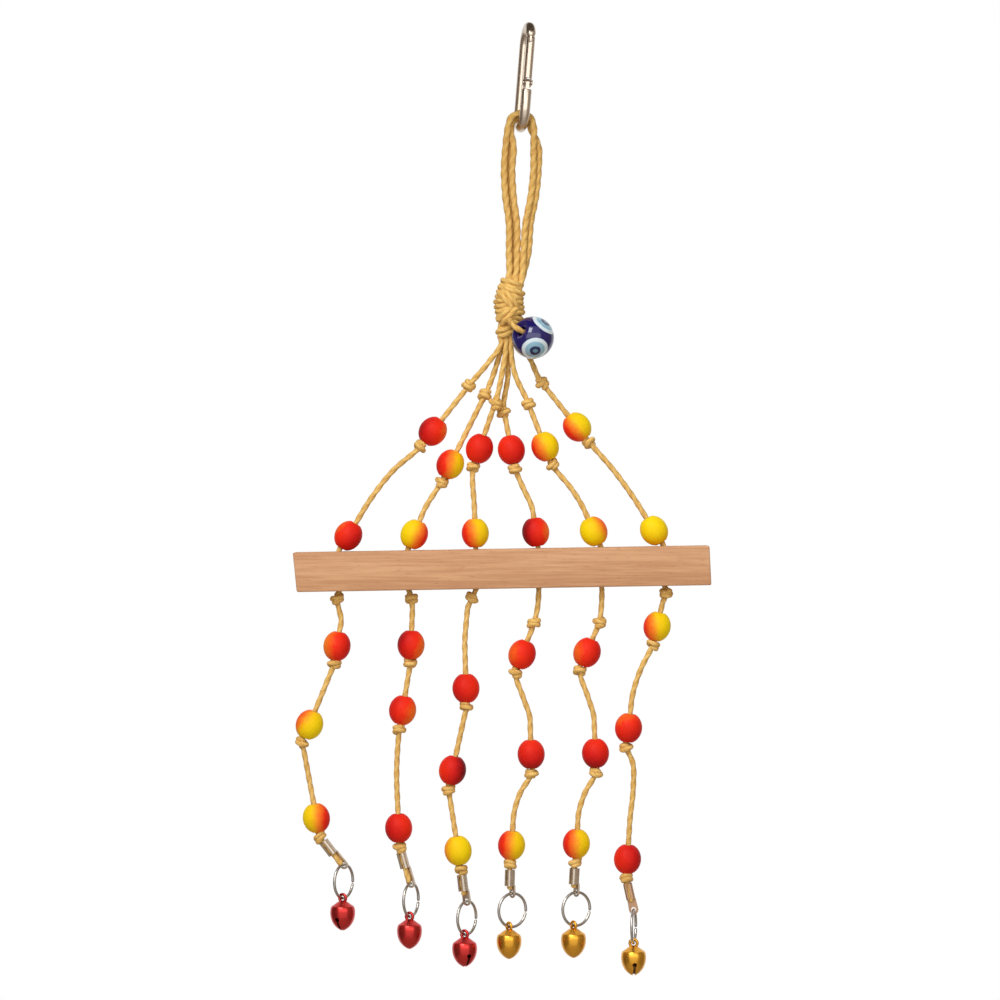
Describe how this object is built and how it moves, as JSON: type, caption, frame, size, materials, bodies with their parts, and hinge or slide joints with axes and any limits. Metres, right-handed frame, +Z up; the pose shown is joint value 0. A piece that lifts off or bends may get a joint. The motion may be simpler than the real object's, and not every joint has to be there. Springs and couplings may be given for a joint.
{
  "type": "beaded bird curtain toy",
  "caption": "Hanging bird cage toy: a snap hook and knotted twine carry a wooden bar, below which beaded strands swing and end in jingle bells.",
  "frame": {"origin": "inside top of the snap hook, where the toy hangs on its support", "axes": "+Z up along the hanging toy, +X along the bar to the right as seen from the front, -Y towards the viewer of the front"},
  "size_m": [0.1544, 0.0238, 0.353],
  "materials": {
    "plating": "nickel plated, slightly dulled",
    "twine": "two-ply twisted twine",
    "beech": "sawn and sanded, unvarnished",
    "bead_red": "matte, shaded from dark to light red",
    "bead_orange": "matte, shaded from red to yellow",
    "bead_yellow": "matte, shaded from yellow to orange",
    "eye_glass": "glossy opaque glass with eye spots",
    "bell_red": "metallic red lacquer",
    "bell_gold": "bright gold"
  },
  "bodies": {
    "clip": {"clip_frame": "plating", "clip_rivet": "plating"},
    "gate": {"clip_gate": "plating"},
    "hanger": {"hanger_cord": "twine", "bar": "beech"},
    "strand_1": {"strand_1_cord": "twine", "strand_1_crimp": "plating"},
    "strand_2": {"strand_2_cord": "twine", "strand_2_crimp": "plating"},
    "strand_3": {"strand_3_cord": "twine", "strand_3_crimp": "plating"},
    "strand_4": {"strand_4_cord": "twine", "strand_4_crimp": "plating"},
    "strand_5": {"strand_5_cord": "twine", "strand_5_crimp": "plating"},
    "strand_6": {"strand_6_cord": "twine", "strand_6_crimp": "plating"},
    "ring_1": {"strand_1_ring": "plating"},
    "ring_2": {"strand_2_ring": "plating"},
    "ring_3": {"strand_3_ring": "plating"},
    "ring_4": {"strand_4_ring": "plating"},
    "ring_5": {"strand_5_ring": "plating"},
    "ring_6": {"strand_6_ring": "plating"},
    "bell_1": {"strand_1_bell": "bell_red"},
    "bell_2": {"strand_2_bell": "bell_red"},
    "bell_3": {"strand_3_bell": "bell_red"},
    "bell_4": {"strand_4_bell": "bell_gold"},
    "bell_5": {"strand_5_bell": "bell_gold"},
    "bell_6": {"strand_6_bell": "bell_gold"},
    "strand_1_bead_1": {"strand_1_bead_1": "bead_orange"},
    "strand_1_bead_2": {"strand_1_bead_2": "bead_yellow"},
    "strand_1_bead_3": {"strand_1_bead_3": "bead_orange"},
    "strand_2_bead_1": {"strand_2_bead_1": "bead_red"},
    "strand_2_bead_2": {"strand_2_bead_2": "bead_red"},
    "strand_2_bead_3": {"strand_2_bead_3": "bead_red"},
    "strand_3_bead_1": {"strand_3_bead_1": "bead_red"},
    "strand_3_bead_2": {"strand_3_bead_2": "bead_red"},
    "strand_3_bead_3": {"strand_3_bead_3": "bead_yellow"},
    "strand_4_bead_1": {"strand_4_bead_1": "bead_orange"},
    "strand_4_bead_2": {"strand_4_bead_2": "bead_red"},
    "strand_4_bead_3": {"strand_4_bead_3": "bead_orange"},
    "strand_5_bead_1": {"strand_5_bead_1": "bead_orange"},
    "strand_5_bead_2": {"strand_5_bead_2": "bead_red"},
    "strand_5_bead_3": {"strand_5_bead_3": "bead_orange"},
    "strand_6_bead_1": {"strand_6_bead_1": "bead_orange"},
    "strand_6_bead_2": {"strand_6_bead_2": "bead_red"},
    "strand_6_bead_3": {"strand_6_bead_3": "bead_red"},
    "bar_bead_1": {"bar_bead_1": "bead_red"},
    "bar_bead_2": {"bar_bead_2": "bead_orange"},
    "bar_bead_3": {"bar_bead_3": "bead_orange"},
    "bar_bead_4": {"bar_bead_4": "bead_red"},
    "bar_bead_5": {"bar_bead_5": "bead_yellow"},
    "bar_bead_6": {"bar_bead_6": "bead_yellow"},
    "leg_bead_1": {"leg_bead_1": "bead_red"},
    "leg_bead_2": {"leg_bead_2": "bead_orange"},
    "leg_bead_3": {"leg_bead_3": "bead_red"},
    "leg_bead_4": {"leg_bead_4": "bead_red"},
    "leg_bead_5": {"leg_bead_5": "bead_orange"},
    "leg_bead_6": {"leg_bead_6": "bead_orange"},
    "eye_bead": {"eye_bead": "eye_glass"}
  },
  "joints": [
    {"name": "gate_swing", "type": "hinge", "parent": "clip", "child": "gate", "pos_m": [-0.00051, -0.00652, -0.01922], "axis": [0.9845, 0.1564, -0.0792], "range_deg": [-30, 0], "stiffness_Nm_per_rad": 0.01, "springref_deg": 22.92},
    {"name": "curtain_swing", "type": "hinge", "parent": "clip", "child": "hanger", "pos_m": [-0.00283, 0, -0.03519], "axis": [-0.1559, 0.9877, 0.0125], "range_deg": [-30, 30]},
    {"name": "strand_1_swing", "type": "hinge", "parent": "hanger", "child": "strand_1", "pos_m": [-0.07028, 0, -0.2134], "axis": [1, 0, 0], "range_deg": [-45, 45]},
    {"name": "strand_2_swing", "type": "hinge", "parent": "hanger", "child": "strand_2", "pos_m": [-0.04298, 0, -0.21337], "axis": [1, 0, 0], "range_deg": [-45, 45]},
    {"name": "strand_3_swing", "type": "hinge", "parent": "hanger", "child": "strand_3", "pos_m": [-0.02259, 0, -0.21315], "axis": [1, 0, 0], "range_deg": [-45, 45]},
    {"name": "strand_4_swing", "type": "hinge", "parent": "hanger", "child": "strand_4", "pos_m": [0.00381, 0, -0.20706], "axis": [1, 0, 0], "range_deg": [-45, 45]},
    {"name": "strand_5_swing", "type": "hinge", "parent": "hanger", "child": "strand_5", "pos_m": [0.02721, 0, -0.20667], "axis": [1, 0, 0], "range_deg": [-45, 45]},
    {"name": "strand_6_swing", "type": "hinge", "parent": "hanger", "child": "strand_6", "pos_m": [0.0497, 0, -0.21108], "axis": [1, 0, 0], "range_deg": [-45, 45]},
    {"name": "ring_1_swing", "type": "hinge", "parent": "strand_1", "child": "ring_1", "pos_m": [-0.06852, 0.00122, -0.30835], "axis": [0.515, 0.8572, 0], "range_deg": [-45, 45]},
    {"name": "ring_2_swing", "type": "hinge", "parent": "strand_2", "child": "ring_2", "pos_m": [-0.04355, 0.00123, -0.31523], "axis": [0.4226, 0.9063, 0], "range_deg": [-45, 45]},
    {"name": "ring_3_swing", "type": "hinge", "parent": "strand_3", "child": "ring_3", "pos_m": [-0.02286, 0.00113, -0.32186], "axis": [0.5446, 0.8387, 0], "range_deg": [-45, 45]},
    {"name": "ring_4_swing", "type": "hinge", "parent": "strand_4", "child": "ring_4", "pos_m": [-0.006, 0.00079, -0.31899], "axis": [0.809, 0.5878, 0], "range_deg": [-45, 45]},
    {"name": "ring_5_swing", "type": "hinge", "parent": "strand_5", "child": "ring_5", "pos_m": [0.01771, 0.00077, -0.31853], "axis": [0.8191, 0.5736, 0], "range_deg": [-45, 45]},
    {"name": "ring_6_swing", "type": "hinge", "parent": "strand_6", "child": "ring_6", "pos_m": [0.03901, 0.00133, -0.32504], "axis": [0.1564, 0.9877, 0], "range_deg": [-45, 45]},
    {"name": "bell_1_swing", "type": "hinge", "parent": "ring_1", "child": "bell_1", "pos_m": [-0.06885, 0.00066, -0.32071], "axis": [0.515, 0.8572, 0], "range_deg": [-45, 45]},
    {"name": "bell_2_swing", "type": "hinge", "parent": "ring_2", "child": "bell_2", "pos_m": [-0.04409, 0.00006, -0.32749], "axis": [0.4226, 0.9063, 0], "range_deg": [-45, 45]},
    {"name": "bell_3_swing", "type": "hinge", "parent": "ring_3", "child": "bell_3", "pos_m": [-0.02368, -0.00012, -0.33408], "axis": [0.5446, 0.8387, 0], "range_deg": [-45, 45]},
    {"name": "bell_4_swing", "type": "hinge", "parent": "ring_4", "child": "bell_4", "pos_m": [-0.00721, -0.00009, -0.33121], "axis": [0.809, 0.5878, 0], "range_deg": [-45, 45]},
    {"name": "bell_5_swing", "type": "hinge", "parent": "ring_5", "child": "bell_5", "pos_m": [0.01666, 0.00004, -0.3308], "axis": [0.8191, 0.5736, 0], "range_deg": [-45, 45]},
    {"name": "bell_6_swing", "type": "hinge", "parent": "ring_6", "child": "bell_6", "pos_m": [0.03894, 0.00091, -0.33742], "axis": [0.1564, 0.9877, 0], "range_deg": [-45, 45]},
    {"name": "strand_1_bead_1_slide", "type": "slide", "parent": "strand_1", "child": "strand_1_bead_1", "axis": [0.1634, 0, 0.9866], "range_m": [0, 0.0045]},
    {"name": "strand_1_bead_2_slide", "type": "slide", "parent": "strand_1", "child": "strand_1_bead_2", "axis": [0.3775, 0, 0.926], "range_m": [0, 0.0165]},
    {"name": "strand_1_bead_3_slide", "type": "slide", "parent": "strand_1", "child": "strand_1_bead_3", "axis": [-0.1826, 0, 0.9832], "range_m": [0, 0.021]},
    {"name": "strand_2_bead_1_slide", "type": "slide", "parent": "strand_2", "child": "strand_2_bead_1", "axis": [0.039, 0, 0.9992], "range_m": [0, 0.008]},
    {"name": "strand_2_bead_2_slide", "type": "slide", "parent": "strand_2", "child": "strand_2_bead_2", "axis": [0.1637, 0, 0.9865], "range_m": [0, 0.01]},
    {"name": "strand_2_bead_3_slide", "type": "slide", "parent": "strand_2", "child": "strand_2_bead_3", "axis": [-0.0438, 0, 0.999], "range_m": [0, 0.014]},
    {"name": "strand_3_bead_1_slide", "type": "slide", "parent": "strand_3", "child": "strand_3_bead_1", "axis": [-0.0262, 0, 0.9997], "range_m": [0, 0.014]},
    {"name": "strand_3_bead_2_slide", "type": "slide", "parent": "strand_3", "child": "strand_3_bead_2", "axis": [0.2166, 0, 0.9763], "range_m": [0, 0.0165]},
    {"name": "strand_3_bead_3_slide", "type": "slide", "parent": "strand_3", "child": "strand_3_bead_3", "axis": [-0.1558, 0, 0.9878], "range_m": [0, 0.0155]},
    {"name": "strand_4_bead_1_slide", "type": "slide", "parent": "strand_4", "child": "strand_4_bead_1", "axis": [0.3569, 0, 0.9342], "range_m": [0, 0.0045]},
    {"name": "strand_4_bead_2_slide", "type": "slide", "parent": "strand_4", "child": "strand_4_bead_2", "axis": [-0.0343, 0, 0.9994], "range_m": [0, 0.009]},
    {"name": "strand_4_bead_3_slide", "type": "slide", "parent": "strand_4", "child": "strand_4_bead_3", "axis": [0.0716, 0, 0.9974], "range_m": [0, 0.007]},
    {"name": "strand_5_bead_1_slide", "type": "slide", "parent": "strand_5", "child": "strand_5_bead_1", "axis": [0.3778, 0, 0.9259], "range_m": [0, 0.0045]},
    {"name": "strand_5_bead_2_slide", "type": "slide", "parent": "strand_5", "child": "strand_5_bead_2", "axis": [-0.0441, 0, 0.999], "range_m": [0, 0.009]},
    {"name": "strand_5_bead_3_slide", "type": "slide", "parent": "strand_5", "child": "strand_5_bead_3", "axis": [0.072, 0, 0.9974], "range_m": [0, 0.007]},
    {"name": "strand_6_bead_1_slide", "type": "slide", "parent": "strand_6", "child": "strand_6_bead_1", "axis": [0.228, 0, 0.9737], "range_m": [0, 0.0035]},
    {"name": "strand_6_bead_2_slide", "type": "slide", "parent": "strand_6", "child": "strand_6_bead_2", "axis": [0.1181, 0, 0.993], "range_m": [0, 0.008]},
    {"name": "strand_6_bead_3_slide", "type": "slide", "parent": "strand_6", "child": "strand_6_bead_3", "axis": [0.0624, 0, 0.9981], "range_m": [0, 0.018]},
    {"name": "bar_bead_1_slide", "type": "slide", "parent": "hanger", "child": "bar_bead_1", "axis": [0.5204, 0, 0.854], "range_m": [0, 0.0135]},
    {"name": "bar_bead_2_slide", "type": "slide", "parent": "hanger", "child": "bar_bead_2", "axis": [0.3757, 0, 0.9267], "range_m": [0, 0.006]},
    {"name": "bar_bead_3_slide", "type": "slide", "parent": "hanger", "child": "bar_bead_3", "axis": [-0.0331, 0, 0.9995], "range_m": [0, 0.017]},
    {"name": "bar_bead_4_slide", "type": "slide", "parent": "hanger", "child": "bar_bead_4", "axis": [-0.1497, 0, 0.9887], "range_m": [0, 0.005]},
    {"name": "bar_bead_5_slide", "type": "slide", "parent": "hanger", "child": "bar_bead_5", "axis": [-0.4116, 0, 0.9114], "range_m": [0, 0.0075]},
    {"name": "bar_bead_6_slide", "type": "slide", "parent": "hanger", "child": "bar_bead_6", "axis": [-0.5276, 0, 0.8495], "range_m": [0, 0.0135]},
    {"name": "leg_bead_1_spin", "type": "hinge", "parent": "hanger", "child": "leg_bead_1", "pos_m": [-0.03547, 0, -0.14777], "axis": [0.6201, 0, 0.7845], "continuous": true},
    {"name": "leg_bead_2_spin", "type": "hinge", "parent": "hanger", "child": "leg_bead_2", "pos_m": [-0.02899, 0.00023, -0.16], "axis": [0.447, 0.0329, 0.8939], "continuous": true},
    {"name": "leg_bead_3_spin", "type": "hinge", "parent": "hanger", "child": "leg_bead_3", "pos_m": [-0.01815, -0.00044, -0.15415], "axis": [0.325, -0.0627, 0.9436], "continuous": true},
    {"name": "leg_bead_4_spin", "type": "hinge", "parent": "hanger", "child": "leg_bead_4", "pos_m": [-0.00634, 0.00064, -0.15461], "axis": [-0.1865, 0.091, 0.9782], "continuous": true},
    {"name": "leg_bead_5_spin", "type": "hinge", "parent": "hanger", "child": "leg_bead_5", "pos_m": [0.00612, 0, -0.15343], "axis": [-0.3623, 0, 0.9321], "continuous": true},
    {"name": "leg_bead_6_spin", "type": "hinge", "parent": "hanger", "child": "leg_bead_6", "pos_m": [0.018, 0.00015, -0.14618], "axis": [-0.622, 0.021, 0.7827], "continuous": true},
    {"name": "eye_bead_spin", "type": "hinge", "parent": "hanger", "child": "eye_bead", "pos_m": [0.00157, -0.0076, -0.11339], "axis": [-0.6993, -0.5994, 0.3896], "continuous": true}
  ]
}
